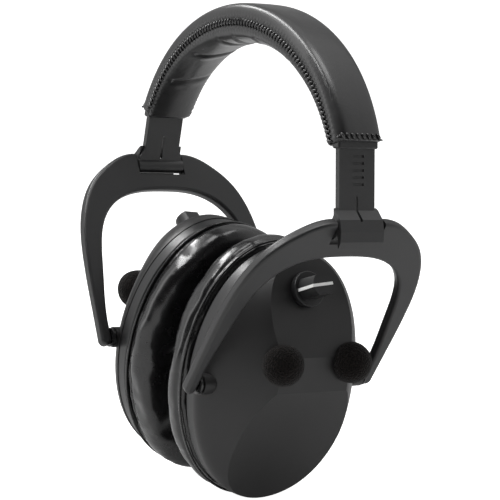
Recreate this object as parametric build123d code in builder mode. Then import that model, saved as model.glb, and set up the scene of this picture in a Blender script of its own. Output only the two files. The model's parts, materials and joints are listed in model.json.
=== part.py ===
"""Over-the-head electronic earmuff hearing protector.

The origin is the point where the wearer's crown touches the middle of the headband pad.
+Z is up, +X is towards the right ear cup and -Y is the front.  Every piece that belongs to
one side is modelled once in a local frame (x forward or backward, y up, z outboard) and is
then placed by that side's frame.  The two sides are half a turn apart about Z.
"""
from build123d import *
from math import cos, radians, sin
import os

os.makedirs("parts", exist_ok=True)

# ---- driving dimensions, millimetres and degrees ----
ARCH_Z = -61.7            # height of the centre of the headband's elliptical arch
ARCH_OUTER = (83.5, 79.6)   # half-width and rise of the cover's outer face
ARCH_INNER = (72.0, 61.7)   # half-width and rise of the pad's inner face
BAND_HALF_WIDTH = 12.8    # half the cover's width, front to rear
COVER_END_Z = -36.0       # height of the cover's stitched ends
LEATHER = 1.1             # thickness of the leather
SPRING_DEPTH = 7.9        # depth of the spring band below the cover's outer face
SPRING_THICKNESS = 0.8
SPRING_HALF_WIDTH = 8.0
FOAM_HALF_WIDTH = 9.3     # half-width of the foam inside the cover

HINGE_X, HINGE_Z = 76.9, -64.0   # yoke hinge with the arm pushed home
ARM_LEAN = 7.0            # outward lean of the arm, going down
ARM_TRAVEL_RIGHT = 11.0   # how far the right arm is drawn out at rest
YOKE_LEAN = {"right": 31.3, "left": 27.1}   # lean of each yoke from the vertical
CUP_TILT = {"right": -6.0, "left": 10.5}    # inward tilt of the top of each cup

ARM_HALF_WIDTH = 9.6
ARM_THICKNESS = 2.6
ARM_TOP = 36.6            # top of the rigid blade above the yoke hinge
TICK_PITCH = 3.0
HINGE_PIN_R = 1.5
RUNNING = 0.05            # radial clearance of a pin that turns in a bore

YOKE_THICKNESS = 5.0
YOKE_HINGE_V = 84.8       # yoke hinge above the cup pivot, along the yoke
NOTCH_HALF_WIDTH = 13.0
NOTCH_FLOOR_V = 79.8
LEG_U = 48.55             # middle of each leg's lower end
PIVOT_R = 3.5

CUP_HALF_WIDTH, CUP_TOP, CUP_BOTTOM = 43.0, 59.5, 57.0
SHELL_SEAM = -5.2         # plane where the shell meets the base
BASE_BACK = -11.6         # ear side of the base
CUSHION_BACK = -13.4      # plane that the ear cushion sits on
CUSHION_FACE = -28.0      # plane that touches the head
WALL = 2.4                # shell wall
UPPER_FACET = (23.5, 17.1, 26.0)    # outboard, height, tilt of the upper flat
LOWER_FACET = (23.5, 1.2, -25.0)    # the same for the lower flat
KNOB_U, KNOB_V = -1.7, 44.0   # volume knob, beside and above the cup pivot
MIC_U, MIC_V = 18.6, 14.4   # microphones, either side and above the cup pivot


def side_frame(sign, x, z, angle):
    """Local frame of a side: x along +-Y, y up and z outboard, tipped up by angle."""
    tip = radians(angle)
    return Plane(origin=(sign * x, 0, z), x_dir=(0, sign, 0),
                 z_dir=(sign * cos(tip), 0, sin(tip)))


def frames(side):
    """Arm, yoke and cup frames of one side."""
    sign = 1 if side == "right" else -1
    drawn = ARM_TRAVEL_RIGHT if side == "right" else 0.0
    lean, swing = radians(ARM_LEAN), radians(YOKE_LEAN[side])
    hinge_x = HINGE_X + drawn * sin(lean)
    hinge_z = HINGE_Z - drawn * cos(lean)
    pivot_x = hinge_x - YOKE_HINGE_V * sin(swing)
    pivot_z = hinge_z - YOKE_HINGE_V * cos(swing)
    return {
        "home": side_frame(sign, HINGE_X, HINGE_Z, ARM_LEAN),
        "arm": side_frame(sign, hinge_x, hinge_z, ARM_LEAN),
        "yoke": side_frame(sign, pivot_x, pivot_z, -YOKE_LEAN[side]),
        "cup": side_frame(sign, pivot_x, pivot_z, CUP_TILT[side]),
    }


def export(part, name):
    """Label a finished piece and write it."""
    part.label = name
    export_step(part, f"parts/{name}.step")


def oval(half_width, top, bottom):
    """Egg outline: two half ellipses that share their widest points."""
    with BuildSketch() as outline:
        with BuildLine():
            EllipticalCenterArc((0, 0), half_width, top, start_angle=0, arc_size=180)
            EllipticalCenterArc((0, 0), half_width, bottom, start_angle=180, arc_size=180)
        make_face()
    return outline.sketch_local


def cup_oval(side, top=None, bottom=None):
    """The cup's outline, smaller all round or by different amounts at side, top and bottom."""
    top = side if top is None else top
    bottom = side if bottom is None else bottom
    return oval(CUP_HALF_WIDTH - side, CUP_TOP - top, CUP_BOTTOM - bottom)


def slab(outline, low, high):
    """A flat outline extruded between two heights."""
    with BuildPart() as body:
        with BuildSketch(Plane.XY.offset(low)):
            add(outline)
        extrude(amount=high - low)
    return body.part


# ---- headband ----
def arch(semi, depth, floor):
    """Half ellipse region of the arch, above the cover's ends."""
    wide, rise = semi[0] - depth, semi[1] - depth
    with BuildSketch() as region:
        with BuildLine():
            EllipticalCenterArc((0, ARCH_Z), wide, rise, start_angle=0, arc_size=180)
            Line((-wide, ARCH_Z), (wide, ARCH_Z))
        make_face()
        with Locations((0, floor - 50)):
            Rectangle(300, 100, mode=Mode.SUBTRACT)
    return region.sketch_local


def arch_layer(outer, outer_depth, inner, inner_depth, half_width, floor=COVER_END_Z):
    """Solid between two arches, as wide as given."""
    with BuildPart() as layer:
        with BuildSketch(Plane.XZ.offset(-half_width)):
            add(arch(outer, outer_depth, floor))
        extrude(amount=2 * half_width)
        with BuildSketch(Plane.XZ.offset(-half_width - 1)):
            add(arch(inner, inner_depth, floor - 5))
        extrude(amount=2 * half_width + 2, mode=Mode.SUBTRACT)
    return layer.part


def long_edges(part):
    """The arch's four long edges, front and rear."""
    return part.edges().filter_by(GeomType.ELLIPSE)


with BuildPart() as cover_hollow:
    add(arch_layer(ARCH_OUTER, LEATHER, ARCH_INNER, -LEATHER, BAND_HALF_WIDTH - LEATHER - 0.1,
                   COVER_END_Z - 1))
    fillet(long_edges(cover_hollow), 3.0)

with BuildPart() as headband_cover:
    add(arch_layer(ARCH_OUTER, 0, ARCH_INNER, 0, BAND_HALF_WIDTH))
    fillet(long_edges(headband_cover), 4.0)
    add(cover_hollow.part, mode=Mode.SUBTRACT)
export(headband_cover.part, "headband_cover")

with BuildPart() as spring_band:
    add(arch_layer(ARCH_OUTER, SPRING_DEPTH, ARCH_OUTER, SPRING_DEPTH + SPRING_THICKNESS,
                   SPRING_HALF_WIDTH, COVER_END_Z + 4))
export(spring_band.part, "spring_band")

with BuildPart() as pad_foam:
    add(arch_layer(ARCH_OUTER, SPRING_DEPTH + SPRING_THICKNESS + 0.2, ARCH_INNER,
                   -LEATHER - 0.2, FOAM_HALF_WIDTH, COVER_END_Z + 4))
export(pad_foam.part, "headband_pad_foam")

# Thin foam over the crown, between the spring band and the outer leather.
CROWN_FOAM_FLOOR = -12.0
with BuildPart() as crown_foam:
    add(arch_layer(ARCH_OUTER, LEATHER + 0.2, ARCH_OUTER, SPRING_DEPTH - 0.2,
                   FOAM_HALF_WIDTH, CROWN_FOAM_FLOOR))
export(crown_foam.part, "headband_crown_foam")


# ---- pieces in the arm frame: origin on the yoke hinge, y up the arm, z outboard ----
GUIDE_END = 24.2          # lower lip of the guide above the hinge, arm pushed home
GUIDE_TOP = 33.0
LEAF_OFFSET = 3.0         # inner face of the outer leaf, outboard of the arm's middle


def plate(width, low, high, back, front):
    """Flat block centred on x, between two heights and two depths."""
    with BuildPart() as block:
        with BuildSketch(Plane.XY.offset(back)):
            with Locations((0, (low + high) / 2)):
                Rectangle(width, high - low)
        extrude(amount=front - back)
    return block.part


with BuildPart() as arm_guide:
    add(plate(2 * ARM_HALF_WIDTH + 2.4, GUIDE_END, GUIDE_TOP, -2.4, 2.4))
    fillet(arm_guide.edges().filter_by(Axis.Y), 1.0)
    lip_edges = arm_guide.faces().sort_by(Axis.Y)[0].edges()
    chamfer(lip_edges, 0.5)
    add(plate(2 * ARM_HALF_WIDTH + 0.7, GUIDE_END - 1, GUIDE_TOP + 1,
              -ARM_THICKNESS / 2 - 0.35, ARM_THICKNESS / 2 + 0.35), mode=Mode.SUBTRACT)

with BuildPart() as slider_arm:
    half = ARM_THICKNESS / 2
    # Rigid blade, flaring slightly towards its lower end.
    with BuildSketch(Plane.XY.offset(-half)):
        with BuildLine():
            Polyline((-ARM_HALF_WIDTH, ARM_TOP), (ARM_HALF_WIDTH, ARM_TOP),
                     (ARM_HALF_WIDTH, 9.0), (11.6, 5.0), (11.6, 1.2), (-11.6, 1.2),
                     (-11.6, 5.0), (-ARM_HALF_WIDTH, 9.0), close=True)
        make_face()
    extrude(amount=ARM_THICKNESS)
    # Outer leaf: side profile swept across the arm's width.
    with BuildSketch(Plane.YZ.offset(-11.6)):
        with BuildLine():
            Polyline((10.0, 0), (9.0, half), (5.0, LEAF_OFFSET + 1.6),
                     (0.0, LEAF_OFFSET + 2.4), (-4.5, LEAF_OFFSET + 2.0),
                     (-7.0, LEAF_OFFSET + 0.6), (-7.0, LEAF_OFFSET), (0.0, LEAF_OFFSET),
                     (3.0, 0.6), (3.0, 0), close=True)
        make_face()
    extrude(amount=23.2)
    # Barrel that carries the hinge pin.
    with BuildSketch(Plane.YZ.offset(-12.5)):
        Circle(3.4)
    extrude(amount=25.0)
    with BuildSketch(Plane.YZ.offset(-20)):
        Circle(HINGE_PIN_R + RUNNING)
    extrude(amount=40, mode=Mode.SUBTRACT)
    # Middle slit with a round upper end.
    with BuildSketch(Plane.XY.offset(-10)):
        with Locations((0, 9.5)):
            SlotOverall(11.0, 1.2, rotation=90)
    extrude(amount=20, mode=Mode.SUBTRACT)
    # Five detent recesses in the outer face.
    with BuildSketch(Plane.XY.offset(half - 0.5)):
        for tick in range(5):
            with Locations((0.6, 20.0 + tick * TICK_PITCH)):
                Rectangle(6.0, 1.1)
    extrude(amount=2, mode=Mode.SUBTRACT)

# Curve that the arm's flexible strap follows inside the cover, above the hinge: (y, z).
STRAP_RAIL = [(40.0, -1.3), (45.0, -4.6), (50.0, -9.0)]


def slider_strap(drawn):
    """Thin strap that carries on from a blade drawn out by an amount, along the arch."""
    start = [(ARM_TOP, 0)] if drawn < 3 else [(ARM_TOP, 0), (33.5 + drawn, 0)]
    rail = [(y + drawn, z) for y, z in STRAP_RAIL]
    with BuildPart() as strap:
        with BuildSketch(Plane.YZ.offset(-8.0)):
            with BuildLine():
                Polyline(*start, *rail)
            trace(line_width=0.8)
            with Locations((ARM_TOP - 5, 0)):
                Rectangle(10, 4, mode=Mode.SUBTRACT)
        extrude(amount=16.0)
    return strap.part


# ---- pieces in the yoke frame: origin on the cup pivot, y up the yoke, z outboard ----
SHOULDER = [(28.9, 85.2), (40.3, 75.3), (47.2, 62.2), (50.4, 47.0), (51.3, 30.0)]
WINDOW = [(0, 72.2), (20.2, 70.0), (30.2, 64.8), (37.2, 56.3), (40.8, 45.8), (43.0, 32.0),
          (LEG_U - 2.75, 8.0)]


def mirrored(points):
    """The same points on the other side, in reverse order."""
    return [(-u, v) for u, v in reversed(points)]


with BuildPart() as yoke:
    leg_inner, leg_outer, tip_v = LEG_U - 2.75, LEG_U + 2.75, -1.3
    with BuildSketch(Plane.XY.offset(-YOKE_THICKNESS / 2)):
        with BuildLine():
            Line((-14.7, 90.6), (14.7, 90.6))
            Spline((14.7, 90.6), *SHOULDER, (leg_outer, tip_v),
                   tangents=((1, -0.08), (0, -1)))
            ThreePointArc((leg_outer, tip_v), (LEG_U, tip_v - 2.75), (leg_inner, tip_v))
            Line((leg_inner, tip_v), (leg_inner, 8.0))
            Spline((leg_inner, 8.0), *reversed(WINDOW[1:-1]), (0, 72.2),
                   *mirrored(WINDOW[1:-1])[::-1], (-leg_inner, 8.0),
                   tangents=((-0.03, 1), (-0.03, -1)))
            Line((-leg_inner, 8.0), (-leg_inner, tip_v))
            ThreePointArc((-leg_inner, tip_v), (-LEG_U, tip_v - 2.75), (-leg_outer, tip_v))
            Spline((-leg_outer, tip_v), *mirrored(SHOULDER), (-14.7, 90.6),
                   tangents=((0, 1), (1, 0.08)))
        make_face()
    extrude(amount=YOKE_THICKNESS)
    fillet(yoke.edges().group_by(Axis.Z)[0] + yoke.edges().group_by(Axis.Z)[-1], 1.5)
    # Notch for the arm's barrel, then the hinge bore and the two pivot sockets.
    add(plate(2 * NOTCH_HALF_WIDTH, NOTCH_FLOOR_V, 95, -6, 6), mode=Mode.SUBTRACT)
    with BuildSketch(Plane.YZ.offset(-17.5)):
        with Locations((YOKE_HINGE_V, 0)):
            Circle(HINGE_PIN_R)
    extrude(amount=35, mode=Mode.SUBTRACT)
    for plane in (Plane.YZ.offset(leg_inner), Plane.YZ.offset(-leg_inner - 3.8)):
        with BuildSketch(plane):
            Circle(1.5)
        extrude(amount=3.8, mode=Mode.SUBTRACT)

with BuildPart() as yoke_hinge_pin:
    with BuildSketch(Plane.YZ.offset(-17.4)):
        with Locations((YOKE_HINGE_V, 0)):
            Circle(HINGE_PIN_R)
    extrude(amount=34.8)

with BuildPart() as pivot_pins:
    with BuildSketch(Plane.YZ.offset(39.6)):
        Circle(PIVOT_R)
    extrude(amount=leg_inner - 39.6)
    with BuildSketch(Plane.YZ.offset(leg_inner - 1.0)):
        Circle(4.4)
    extrude(amount=1.0)
    with BuildSketch(Plane.YZ.offset(leg_inner)):
        Circle(1.5)
    extrude(amount=3.7)
    mirror(about=Plane.YZ)

# ---- pieces in the cup frame: origin on the cup pivot, y up, z outboard ----
# Sections of the dome: depth outboard, then the inset at the side, top and bottom.
DOME = ((SHELL_SEAM, 0.0, 0.0, 0.0), (-1.0, 1.2, 0.3, 0.8), (3.0, 4.2, 1.0, 2.6),
        (10.0, 10.0, 3.9, 6.0), (16.0, 15.0, 8.5, 10.5), (20.5, 19.5, 14.0, 16.0),
        (23.5, 24.0, 22.0, 22.0))


def facet_plane(facet, sink=0.0):
    """Plane of a flat on the dome, sunk below its surface."""
    outboard, height, tilt = facet
    normal = (0, sin(radians(tilt)), cos(radians(tilt)))
    return Plane(origin=(0, height, outboard), x_dir=(1, 0, 0), z_dir=normal).offset(-sink)


def dome(sink):
    """Closed dome, with its two flats, whose surface is sunk by an amount."""
    with BuildPart() as body:
        for outboard, side, top, bottom in DOME:
            drop = sink if outboard > 12 else sink * (outboard - SHELL_SEAM) / 22
            with BuildSketch(Plane.XY.offset(outboard - drop)):
                add(cup_oval(side + sink, top + sink, bottom + sink))
        loft()
        for facet in (UPPER_FACET, LOWER_FACET):
            split(bisect_by=facet_plane(facet, sink), keep=Keep.BOTTOM)
    return body.part


climb = (KNOB_V - UPPER_FACET[1]) / cos(radians(UPPER_FACET[2]))   # up the flat to the knob
KNOB = Plane(origin=facet_plane(UPPER_FACET).from_local_coords((KNOB_U, climb, 0)),
             x_dir=(1, 0, 0), z_dir=facet_plane(UPPER_FACET).z_dir)
POSTS = [(25.0, 35.5), (-25.0, 35.5), (26.0, -34.6), (-26.0, -34.6)]
MICS = [(MIC_U, MIC_V), (-MIC_U, MIC_V)]
SCREW_R, SCREW_CLEAR_R, PILOT_R, HEAD_R = 1.25, 1.5, 1.3, 2.8
SPEAKER_V = 4.0           # speaker above the cup pivot
CELLS = [(-13.5, 5.0), (-24.5, 2.6)]   # height and depth of the two cells' axes


def rods(points, radius, low, high):
    """Round rods along z at several points."""
    with BuildPart() as group:
        with BuildSketch(Plane.XY.offset(low)):
            with Locations(*points):
                Circle(radius)
        extrude(amount=high - low)
    return group.part

with BuildPart() as post_stock:
    add(dome(0.6))
    add(rods(POSTS, 3.3, SHELL_SEAM, 25), mode=Mode.INTERSECT)

with BuildPart() as cup_shell:
    add(dome(0))
    # Bosses on the pivot axis, front and rear.
    for start in (38.6, -43.9):
        with BuildSketch(Plane.YZ.offset(start)):
            Circle(4.75)
        extrude(amount=5.3)
    add(dome(WALL), mode=Mode.SUBTRACT)
    add(post_stock.part)
    split(bisect_by=Plane.XY.offset(SHELL_SEAM), keep=Keep.TOP)
    add(rods(POSTS, PILOT_R, SHELL_SEAM - 1, 4.2), mode=Mode.SUBTRACT)
    add(rods(MICS, 5.0, 10, 30), mode=Mode.SUBTRACT)
    with BuildSketch(Plane.YZ.offset(-50)):
        Circle(PIVOT_R + RUNNING)
    extrude(amount=100, mode=Mode.SUBTRACT)
    with BuildSketch(KNOB.offset(-6)):
        Circle(3.6)
    extrude(amount=12, mode=Mode.SUBTRACT)

with BuildPart() as cup_base:
    add(slab(cup_oval(0.3), BASE_BACK, SHELL_SEAM - 0.1))
    fillet(cup_base.edges().group_by(Axis.Z)[0], 1.2)
    add(slab(cup_oval(13), BASE_BACK - 1, SHELL_SEAM + 1), mode=Mode.SUBTRACT)
    add(rods(POSTS, SCREW_CLEAR_R, BASE_BACK - 1, SHELL_SEAM + 1), mode=Mode.SUBTRACT)
    add(rods(POSTS, HEAD_R + 0.2, BASE_BACK - 1, BASE_BACK + 1.7), mode=Mode.SUBTRACT)

with BuildPart() as base_screws:
    add(rods(POSTS, HEAD_R, BASE_BACK + 0.1, BASE_BACK + 1.7))
    add(rods(POSTS, SCREW_R, BASE_BACK + 1.7, SHELL_SEAM + 9))

with BuildPart() as cushion_plate:
    add(slab(cup_oval(3.2), CUSHION_BACK + 0.1, BASE_BACK - 0.1))
    add(slab(oval(26, 40, 40), CUSHION_BACK - 1, BASE_BACK + 1), mode=Mode.SUBTRACT)

with BuildPart() as ear_cushion:
    add(slab(cup_oval(-0.8), CUSHION_FACE, CUSHION_BACK))
    add(slab(oval(22.5, 35, 35), CUSHION_FACE - 1, CUSHION_BACK + 1), mode=Mode.SUBTRACT)
    fillet(ear_cushion.edges().group_by(Axis.Z)[0], 5.0)
    fillet(ear_cushion.edges().group_by(Axis.Z)[-1].sort_by(SortBy.LENGTH)[-2:], 3.5)

with BuildPart() as speaker_baffle:
    add(slab(cup_oval(13.1), -9.3, -7.5))
    with BuildSketch(Plane.XY.offset(-10)):
        with Locations((0, SPEAKER_V)):
            Circle(15.0)
    extrude(amount=4, mode=Mode.SUBTRACT)

with BuildPart() as inner_foam:
    add(slab(cup_oval(13.4), BASE_BACK, -9.4))
    add(slab(oval(25.4, 39.4, 39.4), -13.2, BASE_BACK))

with BuildPart() as speaker_frame:
    add(rods([(0, SPEAKER_V)], 19.5, -7.4, -6.4))
    add(rods([(0, SPEAKER_V)], 15.5, -6.4, -3.5))
    add(rods([(0, SPEAKER_V)], 14.3, -8, -4.3), mode=Mode.SUBTRACT)
    add(rods([(0, SPEAKER_V)], 8.0, -5, -3), mode=Mode.SUBTRACT)

with BuildPart() as speaker_magnet:
    add(rods([(0, SPEAKER_V)], 10.5, -3.4, 0.6))
    add(rods([(0, SPEAKER_V)], 7.9, -4.2, -3.4))

with BuildPart() as speaker_cone:
    with BuildSketch(Plane(origin=(0, SPEAKER_V, 0), x_dir=(1, 0, 0), z_dir=(0, -1, 0))):
        with BuildLine():
            Polyline((0, -5.6), (5.0, -5.0), (14.2, -7.2), (14.2, -7.7), (5.0, -5.5),
                     (0, -6.1), close=True)
        make_face()
    revolve(axis=Axis((0, SPEAKER_V, 0), (0, 0, 1)))

with BuildPart() as foam_liner:
    add(slab(cup_oval(7.8), SHELL_SEAM + 0.1, 1.0))
    add(slab(cup_oval(10.6), SHELL_SEAM - 1, 3.0), mode=Mode.SUBTRACT)
    add(rods(POSTS, 3.7, SHELL_SEAM - 1, 3), mode=Mode.SUBTRACT)
    # The lower flat's inner face comes down into the liner's top edge.
    split(bisect_by=facet_plane(LOWER_FACET, WALL + 0.4), keep=Keep.BOTTOM)

with BuildPart() as circuit_board:
    add(plate(46, -5.5, 29, 6.0, 7.6))
    # Audio chip, two capacitors and a regulator on the outboard face.
    add(plate(10, 8, 18, 7.6, 9.4))
    add(rods([(-14, 4), (14, 4)], 3.1, 7.6, 12.6))
    add(plate(30, 21, 25, 7.6, 8.8))

with BuildPart() as batteries:
    with BuildSketch(Plane.YZ.offset(-22.0)):
        with Locations(*CELLS):
            Circle(5.2)
    extrude(amount=43.0)
    with BuildSketch(Plane.YZ.offset(21.0)):
        with Locations(*CELLS):
            Circle(1.9)
    extrude(amount=1.0)

with BuildPart() as battery_holder:
    add(plate(46.8, -30.2, -12.2, -4.0, -2.9))
    for start in (-23.4, 22.2):
        with BuildSketch(Plane.YZ.offset(start)):
            with Locations((-21.2, 0.6)):
                Rectangle(18.0, 7.0)
        extrude(amount=1.2)

with BuildPart() as volume_control:
    with BuildSketch(KNOB.offset(-WALL - 6.6)):
        Circle(7.4)
    extrude(amount=6.4)
    with BuildSketch(KNOB.offset(-WALL - 1)):
        Circle(3.5)
    extrude(amount=WALL + 2.4)
    with BuildSketch(KNOB.offset(-WALL - 4)):
        Circle(1.5 + RUNNING)
    extrude(amount=12, mode=Mode.SUBTRACT)

with BuildPart() as mic_grommets:
    add(rods(MICS, 4.95, 15.0, 20.4))
    add(rods(MICS, 3.3, 14, 21), mode=Mode.SUBTRACT)

with BuildPart() as microphones:
    add(rods(MICS, 3.25, 16.2, 20.2))

with BuildPart() as mic_windscreens:
    with Locations(*[(u, v, 24.4) for u, v in MICS]):
        Sphere(9.3)
    add(dome(0), mode=Mode.SUBTRACT)
    add(rods(MICS, 5.2, 10, 20.8), mode=Mode.SUBTRACT)

# ---- volume knob, turning about the normal of the upper flat ----
SKIRT_R, GRIP_TOP, GRIP_R = 8.0, 14.0, 6.2
POINTER = radians(185)    # direction of the pointer about the shaft
DIAL = Plane(origin=KNOB.origin, x_dir=KNOB.x_dir * cos(POINTER) + KNOB.y_dir * sin(POINTER),
             z_dir=KNOB.z_dir)


def pointer_strip():
    """White line that climbs the grip's end and crosses its top."""
    with BuildPart() as strip:
        with BuildSketch(Plane(origin=DIAL.origin, x_dir=DIAL.x_dir, z_dir=-DIAL.y_dir)
                         .offset(-0.65)):
            with BuildLine():
                Polyline((GRIP_R - 0.4, 3.4), (GRIP_R + 0.15, 3.4), (GRIP_R + 0.15, GRIP_TOP + 0.15),
                         (-GRIP_R + 1.5, GRIP_TOP + 0.15), (-GRIP_R + 1.5, GRIP_TOP - 0.4),
                         (GRIP_R - 0.4, GRIP_TOP - 0.4), close=True)
            make_face()
        extrude(amount=1.3)
    return strip.part


with BuildPart() as knob_shaft:
    with BuildSketch(KNOB.offset(-WALL - 3.8)):
        Circle(1.5)
    extrude(amount=WALL + 3.8 + 7.0)

with BuildPart() as knob_blank:
    with BuildSketch(DIAL.offset(0.5)):
        Circle(SKIRT_R)
    extrude(amount=2.9)
    fillet(knob_blank.faces().sort_by(Axis.Z)[-1].edges(), 0.5)
    with BuildSketch(DIAL.offset(2.4)):
        Circle(GRIP_R)
        Rectangle(2 * GRIP_R + 1, 9.6, mode=Mode.INTERSECT)
    extrude(amount=GRIP_TOP - 2.4, taper=2)
    with BuildSketch(DIAL.offset(0)):
        Circle(5.0)
    extrude(amount=2.2, mode=Mode.SUBTRACT)
    with BuildSketch(DIAL.offset(1)):
        Circle(1.5)
    extrude(amount=6, mode=Mode.SUBTRACT)

with BuildPart() as knob_indicator:
    add(pointer_strip())

with BuildPart() as volume_knob:
    add(knob_blank.part)
    add(knob_indicator.part, mode=Mode.SUBTRACT)

# ---- placing: one copy of each side piece in each side's frame ----
SIDE_PIECES = {
    "home": {"arm_guide": arm_guide},
    "arm": {"slider_arm": slider_arm},
    "yoke": {"yoke": yoke, "yoke_hinge_pin": yoke_hinge_pin, "pivot_pins": pivot_pins},
    "cup": {
        "cup_shell": cup_shell, "cup_base": cup_base, "base_screws": base_screws,
        "cushion_plate": cushion_plate, "ear_cushion": ear_cushion,
        "inner_foam": inner_foam, "foam_liner": foam_liner,
        "speaker_baffle": speaker_baffle, "speaker_frame": speaker_frame,
        "speaker_magnet": speaker_magnet, "speaker_cone": speaker_cone,
        "circuit_board": circuit_board, "batteries": batteries,
        "battery_holder": battery_holder, "volume_control": volume_control,
        "mic_grommets": mic_grommets, "microphones": microphones,
        "mic_windscreens": mic_windscreens, "knob_shaft": knob_shaft,
        "volume_knob": volume_knob, "knob_indicator": knob_indicator,
    },
}

for side, drawn in (("right", ARM_TRAVEL_RIGHT), ("left", 0.0)):
    arm_location = frames(side)["arm"].location
    export(slider_strap(drawn).moved(arm_location), f"{side}_slider_strap")
    for frame_name, frame in frames(side).items():
        for piece_name, piece in SIDE_PIECES[frame_name].items():
            export(piece.part.moved(frame.location), f"{side}_{piece_name}")
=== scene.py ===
"""Looks for the electronic earmuff: leather headband, soft cushions, foam and materials.

Everything is in metres in the CAD frame.  Helper tables are written in millimetres and scaled by MM.
"""
import json
from math import cos, pi, radians, sin

import bpy
import numpy as np
from mathutils import Matrix, Vector


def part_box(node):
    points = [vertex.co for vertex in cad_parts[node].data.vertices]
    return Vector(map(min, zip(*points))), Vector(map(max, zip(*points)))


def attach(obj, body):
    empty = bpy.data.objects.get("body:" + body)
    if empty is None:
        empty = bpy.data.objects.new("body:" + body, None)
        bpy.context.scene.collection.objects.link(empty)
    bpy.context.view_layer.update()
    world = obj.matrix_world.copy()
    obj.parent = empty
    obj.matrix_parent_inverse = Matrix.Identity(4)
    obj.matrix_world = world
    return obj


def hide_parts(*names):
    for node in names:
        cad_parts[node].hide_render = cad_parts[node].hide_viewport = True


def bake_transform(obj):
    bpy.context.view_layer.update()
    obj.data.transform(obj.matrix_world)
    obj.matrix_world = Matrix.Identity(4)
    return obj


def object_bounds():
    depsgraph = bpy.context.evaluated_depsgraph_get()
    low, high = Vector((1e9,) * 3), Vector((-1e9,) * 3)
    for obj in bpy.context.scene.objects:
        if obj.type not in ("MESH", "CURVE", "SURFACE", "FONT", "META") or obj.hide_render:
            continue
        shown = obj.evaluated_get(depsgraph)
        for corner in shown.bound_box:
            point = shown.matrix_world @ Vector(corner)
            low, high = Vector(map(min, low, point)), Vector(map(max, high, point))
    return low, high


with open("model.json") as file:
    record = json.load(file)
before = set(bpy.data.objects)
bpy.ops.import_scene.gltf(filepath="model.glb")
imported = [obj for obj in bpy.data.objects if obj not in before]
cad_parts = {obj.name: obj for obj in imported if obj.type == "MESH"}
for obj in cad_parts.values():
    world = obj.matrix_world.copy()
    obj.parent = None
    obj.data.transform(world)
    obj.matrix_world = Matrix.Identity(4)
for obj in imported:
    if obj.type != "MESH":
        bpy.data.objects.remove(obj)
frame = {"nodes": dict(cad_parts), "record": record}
NODES = frame["nodes"]
SIDES = ("right", "left")
MM = 0.001
cad_low, cad_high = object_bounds()


# ---------------------------------------------------------------- mesh helpers
def mesh_object(name, verts, faces, smooth=True):
    """New object from vertices in metres."""
    mesh = bpy.data.meshes.new(name)
    mesh.from_pydata([tuple(v) for v in verts], [], faces)
    mesh.validate()
    mesh.polygons.foreach_set("use_smooth", [smooth] * len(mesh.polygons))
    obj = bpy.data.objects.new(name, mesh)
    bpy.context.scene.collection.objects.link(obj)
    return obj


def coords(obj):
    co = np.zeros(len(obj.data.vertices) * 3)
    obj.data.vertices.foreach_get("co", co)
    return co.reshape(-1, 3)


def set_coords(obj, co):
    obj.data.vertices.foreach_set("co", co.ravel())
    obj.data.update()


def normals(obj):
    out = np.zeros(len(obj.data.vertices) * 3)
    obj.data.vertices.foreach_get("normal", out)
    return out.reshape(-1, 3)


def apply_modifiers(obj):
    """Bakes the modifiers into the mesh."""
    graph = bpy.context.evaluated_depsgraph_get()
    baked = bpy.data.meshes.new_from_object(obj.evaluated_get(graph))
    obj.modifiers.clear()
    obj.data = baked
    return obj


def copy_of(node, name):
    """Separate copy of a CAD node's mesh, with no parent."""
    obj = bpy.data.objects.new(name, NODES[node].data.copy())
    bpy.context.scene.collection.objects.link(obj)
    obj.data.materials.clear()
    return obj


def remeshed(obj, voxel):
    mod = obj.modifiers.new("voxels", "REMESH")
    mod.mode = "VOXEL"
    mod.voxel_size = voxel * MM
    mod.use_smooth_shade = True
    return apply_modifiers(obj)


def noise(p, scale, seed):
    """Smooth repeatable noise from a few crossed sine waves, about -1 to 1."""
    rng = np.random.default_rng(seed)
    total = np.zeros(len(p))
    for _ in range(9):
        direction = rng.normal(size=3)
        direction *= rng.uniform(0.6, 1.6) / np.linalg.norm(direction) / scale
        total += np.sin(p @ direction + rng.uniform(0, 2 * pi))
    return total / 4.0


class Ropes:
    """Collects short tapered tubes, such as stitches, into one mesh."""

    def __init__(self):
        self.verts, self.faces = [], []

    def add(self, path, radius, sides=8, closed=False, taper=0.55):
        path = np.asarray(path, float)
        n = len(path)
        first = len(self.verts)
        if closed:
            ahead, behind = np.roll(path, -1, 0), np.roll(path, 1, 0)
        else:
            ahead = np.vstack([path[1:], path[-1:]])
            behind = np.vstack([path[:1], path[:-1]])
        tangent = ahead - behind
        tangent /= np.linalg.norm(tangent, axis=1)[:, None]
        guide = np.array([0.31, 0.27, 0.91])
        for i in range(n):
            side = np.cross(tangent[i], guide)
            side /= np.linalg.norm(side)
            up = np.cross(side, tangent[i])
            swell = 1.0
            if not closed:
                swell = taper + (1 - taper) * sin(pi * i / (n - 1)) ** 0.6
            for k in range(sides):
                a = 2 * pi * k / sides
                self.verts.append(path[i] + radius * swell * (cos(a) * side + sin(a) * up))
        rings = n if closed else n - 1
        for i in range(rings):
            here, there = first + i * sides, first + (i + 1) % n * sides
            for k in range(sides):
                k2 = (k + 1) % sides
                self.faces.append((here + k, here + k2, there + k2, there + k))
        if not closed:
            self.faces.append(tuple(first + k for k in reversed(range(sides))))
            self.faces.append(tuple(first + (n - 1) * sides + k for k in range(sides)))

    def build(self, name):
        return mesh_object(name, np.array(self.verts) * MM, self.faces)


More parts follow.
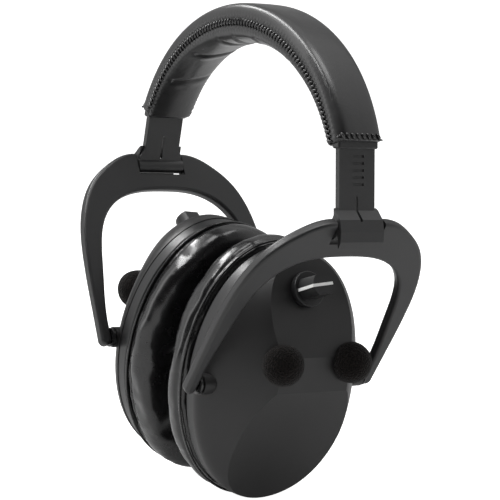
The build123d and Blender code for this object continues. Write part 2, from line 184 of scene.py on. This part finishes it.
# ---------------------------------------------------------------- materials
class Shader:
    """Small builder for a node material around one Principled shader."""

    def __init__(self, name, color, rough, coat=0.0, metallic=0.0, specular=0.5, sheen=0.0):
        self.mat = bpy.data.materials.new(name)
        self.mat.use_nodes = True
        self.nodes, self.links = self.mat.node_tree.nodes, self.mat.node_tree.links
        self.shader = self.nodes["Principled BSDF"]
        self.shader.inputs["Base Color"].default_value = (*color, 1)
        self.shader.inputs["Roughness"].default_value = rough
        self.shader.inputs["Metallic"].default_value = metallic
        self.shader.inputs["Specular IOR Level"].default_value = specular
        self.shader.inputs["Coat Weight"].default_value = coat
        self.shader.inputs["Coat Roughness"].default_value = 0.18
        self.shader.inputs["Sheen Weight"].default_value = sheen
        self.coord = self.nodes.new("ShaderNodeTexCoord").outputs["Object"]
        self.height = None

    def noise(self, scale, detail=4.0, rough=0.55, distort=0.0):
        tex = self.nodes.new("ShaderNodeTexNoise")
        tex.inputs["Scale"].default_value = scale
        tex.inputs["Detail"].default_value = detail
        tex.inputs["Roughness"].default_value = rough
        tex.inputs["Distortion"].default_value = distort
        self.links.new(self.coord, tex.inputs["Vector"])
        return tex.outputs["Fac"]

    def cells(self, scale, feature="F1"):
        tex = self.nodes.new("ShaderNodeTexVoronoi")
        tex.feature = feature
        tex.inputs["Scale"].default_value = scale
        self.links.new(self.coord, tex.inputs["Vector"])
        return tex.outputs["Distance"]

    def spread(self, value, low, high):
        """Maps a 0 to 1 value to a range."""
        node = self.nodes.new("ShaderNodeMapRange")
        node.inputs["To Min"].default_value = low
        node.inputs["To Max"].default_value = high
        self.links.new(value, node.inputs["Value"])
        return node.outputs["Result"]

    def roughness(self, value, low, high):
        self.links.new(self.spread(value, low, high), self.shader.inputs["Roughness"])
        return self

    def tint(self, value, dark, light):
        ramp = self.nodes.new("ShaderNodeValToRGB")
        ramp.color_ramp.elements[0].color = (*dark, 1)
        ramp.color_ramp.elements[1].color = (*light, 1)
        ramp.color_ramp.elements[0].position = 0.3
        ramp.color_ramp.elements[1].position = 0.7
        self.links.new(value, ramp.inputs["Fac"])
        self.links.new(ramp.outputs["Color"], self.shader.inputs["Base Color"])
        return self

    def bump(self, value, strength, distance):
        node = self.nodes.new("ShaderNodeBump")
        node.inputs["Strength"].default_value = strength
        node.inputs["Distance"].default_value = distance * MM
        self.links.new(value, node.inputs["Height"])
        if self.height is not None:
            self.links.new(self.height, node.inputs["Normal"])
        self.height = node.outputs["Normal"]
        self.links.new(self.height, self.shader.inputs["Normal"])
        return self


def plastic(name, color, rough, grain=0.06, coat=0.0, specular=0.5):
    """Moulded plastic: fine spark grain, faint mottling and handling haze."""
    s = Shader(name, color, rough, coat=coat, specular=specular)
    s.roughness(s.noise(45), rough - 0.06, rough + 0.07)
    s.tint(s.noise(28, 5), [c * 0.86 for c in color], [c * 1.14 for c in color])
    s.bump(s.noise(2600, 2), 0.5, grain)
    s.bump(s.noise(70, 2), 0.10, 0.25)
    return s.mat


def leather(name, color, rough, coat, pebble=0.10):
    """Coated leather: pebbled cells, fine pores and slow gloss changes."""
    s = Shader(name, color, rough, coat=coat, specular=0.5)
    s.roughness(s.noise(90, 5), rough - 0.08, rough + 0.09)
    s.tint(s.noise(60, 5), [c * 0.8 for c in color], [c * 1.2 for c in color])
    s.bump(s.cells(1300), 0.45, pebble)
    s.bump(s.noise(380, 6, 0.6), 0.35, 0.16)
    s.bump(s.noise(55, 3), 0.22, 0.7)
    return s.mat


def foam(name, dark, light, size):
    """Open-cell foam: bumped cells, with painted shade darkening the pores between lighter struts."""
    s = Shader(name, dark, 0.95, specular=0.12, sheen=0.06)
    # Painted shade: the tint darkens each pore centre, where the same cells sink the bump.
    s.tint(s.cells(size), dark, light)
    s.bump(s.cells(size), 1.0, 0.5)
    s.bump(s.noise(size * 0.6, 6, 0.7), 0.7, 0.3)
    return s.mat


def metal(name, color, rough):
    """Brushed or plated metal with fine streaks."""
    s = Shader(name, color, rough, metallic=1.0)
    s.roughness(s.noise(600, 3, 0.6, 0.4), rough - 0.08, rough + 0.12)
    s.bump(s.noise(1500, 2), 0.15, 0.03)
    return s.mat


def rubber(name, color, rough):
    s = Shader(name, color, rough, specular=0.3)
    s.roughness(s.noise(200), rough - 0.05, rough + 0.08)
    s.bump(s.noise(900, 4), 0.3, 0.06)
    return s.mat


BLACK = (0.009, 0.0088, 0.0092)
MATERIALS = {
    "headband_leather": leather("headband_leather", (0.009, 0.0088, 0.0092), 0.36, 0.25, 0.05),
    "cushion_leather": leather("cushion_leather", (0.007, 0.0068, 0.0072), 0.26, 0.3, 0.04),
    "soft_foam": foam("soft_foam", (0.05, 0.05, 0.052), (0.13, 0.13, 0.13), 900),
    "inner_foam": foam("inner_foam", (0.0015, 0.0012, 0.0012), (0.005, 0.0045, 0.0045), 1100),
    "windscreen_foam": foam("windscreen_foam", (0.0016, 0.0012, 0.0011), (0.0085, 0.0066, 0.0058), 1250),
    "arm_plastic": plastic("arm_plastic", (0.012, 0.012, 0.0125), 0.42, specular=0.6),
    "strap_plastic": plastic("strap_plastic", BLACK, 0.5),
    "yoke_plastic": plastic("yoke_plastic", (0.014, 0.014, 0.0145), 0.38, 0.04, specular=0.5),
    "pin_plastic": plastic("pin_plastic", BLACK, 0.25, 0.02, 0.3),
    "shell_plastic": plastic("shell_plastic", (0.007, 0.0066, 0.0069), 0.42, 0.05),
    "base_plastic": plastic("base_plastic", (0.009, 0.009, 0.0095), 0.34, 0.04),
    "plate_plastic": plastic("plate_plastic", (0.010, 0.010, 0.011), 0.6),
    "knob_plastic": plastic("knob_plastic", (0.007, 0.007, 0.0075), 0.48, 0.06),
    "indicator_white": plastic("indicator_white", (0.80, 0.80, 0.79), 0.45, 0.03),
    "cone_film": plastic("cone_film", (0.05, 0.05, 0.055), 0.3, 0.02, 0.3),
    "board": plastic("board", (0.012, 0.09, 0.035), 0.32, 0.03, 0.4),
    "battery_jacket": plastic("battery_jacket", (0.08, 0.085, 0.10), 0.3, 0.02, 0.4),
    "spring_steel": metal("spring_steel", (0.50, 0.50, 0.52), 0.32),
    "steel": metal("steel", (0.42, 0.42, 0.44), 0.3),
    "mic_metal": metal("mic_metal", (0.62, 0.62, 0.63), 0.35),
    "grommet_rubber": rubber("grommet_rubber", (0.015, 0.015, 0.015), 0.7),
}
THREAD = leather("thread", (0.014, 0.0135, 0.014), 0.3, 0.35, 0.02)


def finish_piece(obj, material, body=None, node=None):
    """Gives a piece its material, the body it moves with and the CAD nodes it stands for."""
    obj.data.materials.clear()
    obj.data.materials.append(material)
    if body:
        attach(obj, body)
    if node:
        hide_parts(node)
    return obj


for entry in frame["record"]["subparts"]:
    node_mesh = NODES[entry["node"]].data
    node_mesh.materials.clear()
    node_mesh.materials.append(MATERIALS[entry["material_slot"]])


# ---------------------------------------------------------------- headband
ARCH_Z = -61.7
OUTER = (83.5, 79.6)
INNER = (72.0, 61.7)
END_Z = -36.0
SEAM_DEPTH = 8.7
STITCH_PITCH = 2.45

# Half section at the crown: (distance from the middle, depth below the outer face).
SECTION = [(0.0, 0.0), (5.0, 0.05), (9.0, 0.35), (10.9, 1.3), (12.2, 3.4), (12.7, 5.6),
           (12.3, 7.6), (11.25, 8.7), (12.1, 10.0), (12.3, 12.0), (11.4, 14.2), (8.6, 16.2),
           (4.6, 17.4), (0.0, 17.8)]


def closed_curve(points, count):
    """Smooth closed Catmull-Rom curve through points, sampled evenly by index."""
    p = np.asarray(points, float)
    n = len(p)
    t = np.arange(count) * n / count
    i = t.astype(int)
    f = (t - i)[:, None]
    a, b, c, d = p[(i - 1) % n], p[i % n], p[(i + 1) % n], p[(i + 2) % n]
    return 0.5 * (2 * b + (c - a) * f + (2 * a - 5 * b + 4 * c - d) * f ** 2
                  + (3 * b - a - 3 * c + d) * f ** 3)


def arch_frames(count):
    """Points along the outer arch from the right end to the left, evenly spaced, with the
    inward normal, the depth to the inner face and the distance along the arch."""
    fine = np.linspace(0, pi, 6001)
    x, z = OUTER[0] * np.cos(fine), ARCH_Z + OUTER[1] * np.sin(fine)
    keep = z >= END_Z
    x, z, fine = x[keep], z[keep], fine[keep]
    s = np.concatenate([[0], np.cumsum(np.hypot(np.diff(x), np.diff(z)))])
    even = np.linspace(0, s[-1], count)
    angle = np.interp(even, s, fine)
    px, pz = OUTER[0] * np.cos(angle), ARCH_Z + OUTER[1] * np.sin(angle)
    nx, nz = -np.cos(angle) / OUTER[0], -np.sin(angle) / OUTER[1]
    size = np.hypot(nx, nz)
    nx, nz = nx / size, nz / size
    # Depth to the inner ellipse, along the normal.
    qa = (nx / INNER[0]) ** 2 + (nz / INNER[1]) ** 2
    qb = 2 * (px * nx / INNER[0] ** 2 + (pz - ARCH_Z) * nz / INNER[1] ** 2)
    qc = (px / INNER[0]) ** 2 + ((pz - ARCH_Z) / INNER[1]) ** 2 - 1
    depth = (-qb - np.sqrt(np.maximum(qb ** 2 - 4 * qa * qc, 0))) / (2 * qa)
    return px, pz, nx, nz, depth, even


def placed(px, pz, nx, nz, y, d):
    """Point of the arch at a distance y from its middle plane and a depth d."""
    return np.array([px + nx * d, y, pz + nz * d])


def section_scale(depth, from_end):
    """Depth of the seam, share of the lower part and share of the width at one place."""
    seam = min(SEAM_DEPTH, depth * 0.66)
    lower = (depth - seam) / (SECTION[-1][1] - SEAM_DEPTH)
    width = 0.945 + 0.055 * min(1.0, from_end / 45.0)
    return seam, lower, width


def build_headband():
    """Leather cover swept along the arch, with rolled edges, gathers, creases and closed ends."""
    along, around = 820, 104
    px, pz, nx, nz, depth, s = arch_frames(along)
    loop = SECTION + [(-y, d) for y, d in reversed(SECTION[1:-1])]
    ring = closed_curve(loop, around)
    total = s[-1]
    verts = np.zeros((along, around, 3))
    for i in range(along):
        from_end = min(s[i], total - s[i])
        seam, lower, width = section_scale(depth[i], from_end)
        y = ring[:, 0] * width
        d = np.where(ring[:, 1] < SEAM_DEPTH, ring[:, 1] * seam / SEAM_DEPTH,
                     seam + (ring[:, 1] - SEAM_DEPTH) * lower)
        # Gathers: every stitch pulls the leather in beside the seam.
        near = np.exp(-((d - seam) / 2.4) ** 2) * (np.abs(y) > 8)
        pull = 0.34 * near * np.cos(2 * pi * s[i] / STITCH_PITCH)
        # Rounded ends.
        tuck = max(0.0, 1 - from_end / 1.6)
        shrink = 1 - 0.10 * tuck ** 2
        mid = depth[i] * 0.5
        y = (y + np.sign(y) * pull) * shrink
        d = mid + (d - mid) * shrink
        verts[i, :, 0] = px[i] + nx[i] * d
        verts[i, :, 1] = y
        verts[i, :, 2] = pz[i] + nz[i] * d
    flat = verts.reshape(-1, 3)
    arc = np.repeat(s, around)
    inner = np.tile(np.clip((ring[:, 1] - 9.5) / 5, 0, 1), along)
    outer = np.tile(np.clip((7.5 - ring[:, 1]) / 5, 0, 1), along)
    across = np.tile(ring[:, 0], along)
    # Soft lengthwise folds and shallow cross creases in the inner pad.
    folds = 0.42 * noise(np.stack([arc * 0.35, across * 2.2, arc * 0], 1), 7.0, 3)
    creases = np.zeros(len(arc))
    for place, strength, slant in ((0.30, 0.8, 0.5), (0.42, 1.0, -0.35), (0.455, 0.7, 0.3),
                                   (0.56, 1.0, 0.4), (0.60, 0.7, -0.2), (0.72, 0.8, -0.5),
                                   (0.17, 0.6, 0.3), (0.86, 0.6, -0.3)):
        off = arc - place * total - slant * across
        creases -= strength * np.exp(-(off / 1.5) ** 2)
        creases += 0.45 * strength * np.exp(-((off - 3.4) / 2.4) ** 2)
    # The outer leather is smooth, with a slight wave.
    wave = 0.16 * noise(np.stack([arc, across * 1.6, arc * 0], 1), 16.0, 8)
    press = inner * (folds + creases * np.exp(-(across / 10.0) ** 4)) + outer * wave
    base_n = np.stack([np.repeat(nx, around), np.zeros(len(arc)), np.repeat(nz, around)], 1)
    sign = np.where(inner > 0, 1.0, -1.0)
    flat += base_n * (press * sign)[:, None] * 0.8
    faces = []
    for i in range(along - 1):
        a, b = i * around, (i + 1) * around
        for k in range(around):
            k2 = (k + 1) % around
            faces.append((a + k, b + k, b + k2, a + k2))
    # Each end is closed by a slightly sunk cap.
    verts_list = list(flat)
    for i, flip in ((0, False), (along - 1, True)):
        rim = flat[i * around:(i + 1) * around]
        inward = np.array([0, 0, 1.0])
        centre = rim.mean(0)
        previous = list(range(i * around, (i + 1) * around))
        for share, sink in ((0.8, 0.5), (0.45, 0.9)):
            start = len(verts_list)
            verts_list.extend(centre + (rim - centre) * share + inward * sink)
            current = list(range(start, start + around))
            for k in range(around):
                k2 = (k + 1) % around
                quad = (previous[k], previous[k2], current[k2], current[k])
                faces.append(quad if not flip else quad[::-1])
            previous = current
        tip = len(verts_list)
        verts_list.append(centre + inward * 1.0)
        for k in range(around):
            tri = (previous[k], previous[(k + 1) % around], tip)
            faces.append(tri if not flip else tri[::-1])
    obj = mesh_object("headband_leather_cover", np.array(verts_list) * MM, faces)
    return finish_piece(obj, MATERIALS["headband_leather"], "headband", "headband_cover")


def build_seam_stitches():
    """Whip stitches along both long seams: short cords that bridge the groove at a slant."""
    ropes = Ropes()
    px, pz, nx, nz, depth, s = arch_frames(1600)
    total = s[-1]
    count = int((total - 3.0) / STITCH_PITCH)
    for side in (-1, 1):
        for k in range(count):
            place = 1.8 + k * STITCH_PITCH
            path = []
            for share in np.linspace(0, 1, 6):
                at = place + (share - 0.5) * 1.5
                i = int(round(np.clip(at / total, 0, 1) * 1599))
                seam, _, width = section_scale(depth[i], min(s[i], total - s[i]))
                d = seam + (share - 0.5) * 3.2
                bulge = 0.85 * sin(pi * share)
                y = side * (12.0 * width + bulge)
                path.append(placed(px[i], pz[i], nx[i], nz[i], y, d))
            ropes.add(path, 0.66, sides=8, taper=0.5)
    return finish_piece(ropes.build("headband_seam_stitches"), THREAD, "headband")


def build_end_stitches():
    """Thick overcast stitches round the outer edge of each end, with a knot at the front."""
    ropes = Ropes()
    px, pz, nx, nz, _, s = arch_frames(1600)
    total = s[-1]
    for end, front in ((0, -1), (1, 1)):
        for k in range(8):
            y = -9.8 + k * 2.75
            path = []
            for share in np.linspace(0, 1, 7):
                rise = 0.25 + 2.9 * share
                at = rise if end == 0 else total - rise
                i = int(round(at / total * 1599))
                lift = -0.45 * sin(pi * share) + 1.1 * (1 - share) ** 3
                path.append(placed(px[i], pz[i], nx[i], nz[i], y + 1.7 * share * front, lift))
            ropes.add(path, 0.62, sides=9, taper=0.55)
        # Edge cord that the stitches are laid over.
        cord = []
        for y in np.linspace(-10.6, 10.6, 26):
            at = 0.5 if end == 0 else total - 0.5
            i = int(round(at / total * 1599))
            sag = 0.25 * cos(2 * pi * y / 2.75)
            cord.append(placed(px[i], pz[i], nx[i], nz[i], y, 0.35 + sag))
        ropes.add(cord, 0.55, sides=8, taper=0.7)
        knot = []
        for t in np.linspace(0, 3 * pi, 30):
            at = 2.0 + 0.5 * sin(t) if end == 0 else total - 2.0 - 0.5 * sin(t)
            i = int(round(at / total * 1599))
            knot.append(placed(px[i], pz[i], nx[i], nz[i], front * (11.0 + 0.6 * cos(t)),
                               1.2 + 1.9 * t / (3 * pi)))
        ropes.add(knot, 0.55, sides=8, taper=0.6)
    return finish_piece(ropes.build("headband_end_stitches"), THREAD, "headband")


build_headband()
build_seam_stitches()
build_end_stitches()


# ---------------------------------------------------------------- cup frames
def side_axes(side):
    """The cup's centre on its pivot and its axes: x, y up and z outboard, from the CAD."""
    shell_low, shell_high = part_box(f"{side}_pivot_pins")
    centre = (shell_low + shell_high) / 2
    sign = 1 if side == "right" else -1
    tip = radians(-6.0 if side == "right" else 10.5)
    x = np.array([0.0, sign, 0.0])
    z = np.array([sign * cos(tip), 0.0, sin(tip)])
    return np.array(centre), x, np.cross(z, x), z


def to_local(p, axes):
    centre, x, y, z = axes
    return (p - centre) @ np.stack([x, y, z], 1) / MM


def to_world(q, axes):
    centre, x, y, z = axes
    return centre + (q * MM) @ np.stack([x, y, z], 0)


# ---------------------------------------------------------------- ear cushions
CUSHION_BACK = -13.4
SEAT_OVAL = (43.8, 60.3, 57.8)
EAR_OVAL = (22.5, 35.0, 35.0)


def oval_radius(sizes, u, v):
    """1 on the oval, less inside it."""
    tall = np.where(v > 0, sizes[1], sizes[2])
    return np.hypot(u / sizes[0], v / tall)


def simulate(obj, pinned):
    """Inflates the skin as cloth, with the pinned vertices held."""
    group = obj.vertex_groups.new(name="held")
    group.add([int(i) for i in np.flatnonzero(pinned)], 1.0, "REPLACE")
    cloth = obj.modifiers.new("skin", "CLOTH")
    cloth.settings.quality = 6
    cloth.settings.mass = 0.25
    cloth.settings.use_pressure = True
    cloth.settings.uniform_pressure_force = 4.0
    cloth.settings.tension_stiffness = 18
    cloth.settings.compression_stiffness = 12
    cloth.settings.shear_stiffness = 8
    cloth.settings.bending_stiffness = 0.6
    cloth.settings.shrink_min = -0.03
    cloth.settings.vertex_group_mass = "held"
    cloth.settings.effector_weights.gravity = 0
    cloth.collision_settings.use_collision = False
    cloth.point_cache.frame_start, cloth.point_cache.frame_end = 1, 20
    for f in range(1, 21):
        bpy.context.scene.frame_set(f)
    apply_modifiers(obj)
    obj.vertex_groups.clear()
    bpy.context.scene.frame_set(1)


def build_cushion(side):
    """Foam-filled ring in a glossy skin: inflated, creased round the ear hole and seamed."""
    axes = side_axes(side)
    obj = remeshed(copy_of(f"{side}_ear_cushion", f"{side}_cushion_skin"), 2.6)
    rest = coords(obj)
    q = to_local(rest, axes)
    simulate(obj, q[:, 2] > CUSHION_BACK - 2.2)
    moved = coords(obj)
    if len(moved) == len(rest):
        step = moved - rest
        size = np.linalg.norm(step, axis=1)[:, None]
        step *= np.minimum(1.0, 1.6 * MM / np.maximum(size, 1e-9))
        set_coords(obj, rest + step)
    soften = obj.modifiers.new("soften", "SMOOTH")
    soften.factor, soften.iterations = 0.5, 5
    finer = obj.modifiers.new("finer", "SUBSURF")
    finer.levels = finer.render_levels = 2
    apply_modifiers(obj)
    q = to_local(coords(obj), axes)
    angle = np.arctan2(q[:, 1], q[:, 0])
    hole = oval_radius(EAR_OVAL, q[:, 0], q[:, 1])
    rim = oval_radius(SEAT_OVAL, q[:, 0], q[:, 1])
    seed = 11 if side == "right" else 23
    around = np.stack([np.cos(angle) * 30, np.sin(angle) * 30, q[:, 2] * 0.4], 1)
    # Radial gathers round the ear hole, fading over the face.
    gather = noise(around * 1.6, 5.0, seed) * np.exp(-((hole - 1.05) / 0.35) ** 2)
    # A few long folds on the outer wall, and one soft valley all round it.
    wall = np.exp(-((rim - 1.0) / 0.12) ** 2)
    fold = noise(np.stack([angle * 30, q[:, 2] * 3.0, angle * 0], 1), 9.0, seed + 1) * wall
    valley = -np.exp(-((q[:, 2] + 17.2) / 1.2) ** 2) * wall
    push = 0.55 * gather + 0.35 * fold + 0.75 * valley
    q += to_local(normals(obj) * MM + axes[0], axes) * push[:, None]
    set_coords(obj, to_world(q, axes))
    obj.data.polygons.foreach_set("use_smooth", [True] * len(obj.data.polygons))
    finish_piece(obj, MATERIALS["cushion_leather"], f"{side}_cup", f"{side}_ear_cushion")
    # Welded seam round the outer wall and round the ear hole.
    ropes = Ropes()
    turn = np.linspace(0, 2 * pi, 241)[:-1]
    for sizes, level, radius, grow in ((SEAT_OVAL, -14.6, 0.55, 0.1),
                                       (EAR_OVAL, -15.2, 0.45, -0.1)):
        tall = np.where(np.sin(turn) > 0, sizes[1], sizes[2]) + grow
        ring = np.stack([(sizes[0] + grow) * np.cos(turn), tall * np.sin(turn),
                         np.full(len(turn), level)], 1)
        ropes.add(to_world(ring, axes) / MM, radius, sides=8, closed=True)
    finish_piece(ropes.build(f"{side}_cushion_seam"), MATERIALS["cushion_leather"],
                 f"{side}_cup")


for cup_side in SIDES:
    build_cushion(cup_side)


# ---------------------------------------------------------------- foams
def build_foam(node, name, body, material, voxel, rough, dome=None):
    """Cut foam block: slightly uneven faces and softened edges."""
    obj = remeshed(copy_of(node, name), voxel)
    soften = obj.modifiers.new("soften", "SMOOTH")
    soften.factor, soften.iterations = 0.5, 3
    apply_modifiers(obj)
    co = coords(obj)
    lift = noise(co / MM, 1.6, len(name)) * rough + noise(co / MM, 9.0, len(name) + 5) * rough
    co = co + normals(obj) * (lift * MM - rough * 1.6 * MM)[:, None]
    if dome:
        axes, height = dome
        q = to_local(co, axes)
        reach = np.clip(1 - oval_radius((25.0, 39.0, 39.0), q[:, 0], q[:, 1]) ** 2, 0, 1)
        q[:, 2] -= height * reach * (q[:, 2] < -12.0)
        co = to_world(q, axes)
    set_coords(obj, co)
    obj.data.polygons.foreach_set("use_smooth", [True] * len(obj.data.polygons))
    return finish_piece(obj, material, body, node)


build_foam("headband_pad_foam", "headband_pad_block", "headband", MATERIALS["soft_foam"],
           1.3, 0.08)
build_foam("headband_crown_foam", "headband_crown_block", "headband", MATERIALS["soft_foam"],
           1.0, 0.05)
for cup_side in SIDES:
    build_foam(f"{cup_side}_inner_foam", f"{cup_side}_ear_foam", f"{cup_side}_cup",
               MATERIALS["inner_foam"], 1.1, 0.16,
               dome=(side_axes(cup_side), 1.2))
    build_foam(f"{cup_side}_foam_liner", f"{cup_side}_liner_blocks", f"{cup_side}_cup",
               MATERIALS["soft_foam"], 0.9, 0.06)
    build_foam(f"{cup_side}_mic_windscreens", f"{cup_side}_mic_foams", f"{cup_side}_cup",
               MATERIALS["windscreen_foam"], 0.42, 0.10)


# ---------------------------------------------------------------- straps inside the headband
def build_strap(side):
    """End of the slider arm, remeshed from the CAD with the strap material."""
    obj = remeshed(copy_of(f"{side}_slider_strap", f"{side}_strap_tail"), 0.35)
    obj.data.materials.clear()
    obj.data.materials.append(MATERIALS["strap_plastic"])
    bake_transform(obj)
    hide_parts(f"{side}_slider_strap")


for cup_side in SIDES:
    build_strap(cup_side)


# ---------------------------------------------------------------- floor, light and camera
LOWEST = cad_low[2]
FLOOR_GAP = 0.0006        # floor below the lowest point
FLOOR_FRONT, FLOOR_BACK, FLOOR_CURVE, WALL_TOP = -3.0, 2.2, 1.2, 4.0
SEEN_WHITE, FLOOR_LIGHT, WORLD_LIGHT = 1.0, 0.22, 0.8


def seen_or_lit(nodes, links, target, seen, lit):
    """One strength where the camera sees it, another for the light it gives the object."""
    path = nodes.new("ShaderNodeLightPath")
    reach = nodes.new("ShaderNodeMapRange")
    reach.inputs["To Min"].default_value = lit
    reach.inputs["To Max"].default_value = seen
    links.new(path.outputs["Is Camera Ray"], reach.inputs["Value"])
    links.new(reach.outputs["Result"], target)


def build_floor():
    """Seamless pale sweep that rises softly behind the object."""
    verts, faces, profile = [], [], []
    for y in np.linspace(FLOOR_FRONT, FLOOR_BACK, 14):
        profile.append((y, 0.0))
    for a in np.linspace(0, pi / 2, 12)[1:]:
        profile.append((FLOOR_BACK + FLOOR_CURVE * sin(a), FLOOR_CURVE - FLOOR_CURVE * cos(a)))
    profile.append((FLOOR_BACK + FLOOR_CURVE, WALL_TOP))
    spread = np.linspace(-4.0, 4.0, 9)
    turn = radians(54)
    for y, z in profile:
        for x in spread:
            verts.append((x * cos(turn) - y * sin(turn), x * sin(turn) + y * cos(turn),
                          LOWEST - FLOOR_GAP + z))
    cols = len(spread)
    for i in range(len(profile) - 1):
        for k in range(cols - 1):
            a = i * cols + k
            faces.append((a, a + 1, a + cols + 1, a + cols))
    obj = mesh_object("studio_sweep", verts, faces)
    s = Shader("studio_paper", (0.55, 0.55, 0.55), 0.9, specular=0.1)
    s.shader.inputs["Emission Color"].default_value = (1, 1, 1, 1)
    seen_or_lit(s.nodes, s.links, s.shader.inputs["Emission Strength"],
                SEEN_WHITE, FLOOR_LIGHT)
    s.roughness(s.noise(6), 0.86, 0.94)
    s.bump(s.noise(300), 0.05, 0.1)
    obj.data.materials.append(s.mat)


def new_area_light(name, size, power):
    data = bpy.data.lights.new(name, "AREA")
    data.shape = "RECTANGLE"
    data.size, data.size_y = size
    data.energy = power
    obj = bpy.data.objects.new(name, data)
    bpy.context.scene.collection.objects.link(obj)
    return obj


def area_light(name, spot, size, power):
    """Rectangular light at a place, facing the object."""
    obj = new_area_light(name, size, power)
    obj.location = spot
    obj.rotation_euler = (TARGET - Vector(spot)).to_track_quat("-Z", "Y").to_euler()


def strip_light(name, toward, along, size, power):
    """Long narrow light in a direction from the object, with its long side along another."""
    back = toward.normalized()
    across = back.cross(along).normalized()
    turned = Matrix((across.cross(back), across, back)).transposed().to_4x4()
    obj = new_area_light(name, size, power)
    obj.matrix_world = Matrix.Translation(TARGET + back * STRIP_DISTANCE) @ turned


build_floor()

AZ, EL, ROLL = radians(54.03), radians(6.83), radians(4.33)
BACK = Vector((sin(AZ) * cos(EL), -cos(AZ) * cos(EL), sin(EL)))
RIGHT = Vector((cos(AZ), sin(AZ), 0))
UP = BACK.cross(RIGHT)
TARGET = Vector((3.47, 0, -93.41)) * MM
CAMERA_DISTANCE = 0.9793
CAMERA_LENS = 155.2
STRIP_DISTANCE = 1.2


def from_camera(right, up, back):
    """Place given by distances to the right of, above and in front of the object."""
    return TARGET + RIGHT * right + UP * up + BACK * back


def build_world():
    """White studio behind and beside the object, falling to dark on the side of the room
    that the picture is taken from."""
    world = bpy.data.worlds.new("studio")
    world.use_nodes = True
    nodes, links = world.node_tree.nodes, world.node_tree.links
    coord = nodes.new("ShaderNodeTexCoord")
    turned = nodes.new("ShaderNodeVectorMath")
    turned.operation = "DOT_PRODUCT"
    turned.inputs[1].default_value = BACK
    links.new(coord.outputs["Generated"], turned.inputs[0])
    ramp = nodes.new("ShaderNodeValToRGB")
    ramp.color_ramp.elements[0].position = 0.18
    ramp.color_ramp.elements[0].color = (1, 1, 1, 1)
    ramp.color_ramp.elements[1].position = 0.62
    ramp.color_ramp.elements[1].color = (0.03, 0.03, 0.03, 1)
    links.new(turned.outputs["Value"], ramp.inputs["Fac"])
    links.new(ramp.outputs["Color"], nodes["Background"].inputs["Color"])
    nodes["Background"].inputs["Strength"].default_value = WORLD_LIGHT
    # The camera itself sees plain white all round.
    white = nodes.new("ShaderNodeBackground")
    white.inputs["Color"].default_value = (1, 1, 1, 1)
    white.inputs["Strength"].default_value = SEEN_WHITE
    path = nodes.new("ShaderNodeLightPath")
    mix = nodes.new("ShaderNodeMixShader")
    links.new(path.outputs["Is Camera Ray"], mix.inputs["Fac"])
    links.new(nodes["Background"].outputs["Background"], mix.inputs[1])
    links.new(white.outputs["Background"], mix.inputs[2])
    links.new(mix.outputs["Shader"], nodes["World Output"].inputs["Surface"])
    bpy.context.scene.world = world


build_world()
bpy.context.scene.view_settings.view_transform = "Standard"
area_light("top_box", from_camera(0.15, 1.2, 0.35), (0.9, 0.5), 7.5)
area_light("left_box", from_camera(-1.2, 0.35, 0.1), (0.4, 1.3), 3)
strip_light("ridge_strip", Vector((-0.40, -0.42, 0.80)), Vector((0.80, -0.55, 0.15)), (1.5, 0.16), 14)

lens = bpy.data.cameras.new("camera")
lens.sensor_width = 36
lens.lens = CAMERA_LENS
lens.clip_start, lens.clip_end = 0.05, 30
camera = bpy.data.objects.new("camera", lens)
bpy.context.scene.collection.objects.link(camera)
across = RIGHT * cos(ROLL) + UP * sin(ROLL)
upward = UP * cos(ROLL) - RIGHT * sin(ROLL)
turn_matrix = Matrix((across, upward, BACK)).transposed().to_4x4()
camera.matrix_world = Matrix.Translation(TARGET + BACK * CAMERA_DISTANCE) @ turn_matrix
bpy.context.scene.camera = camera
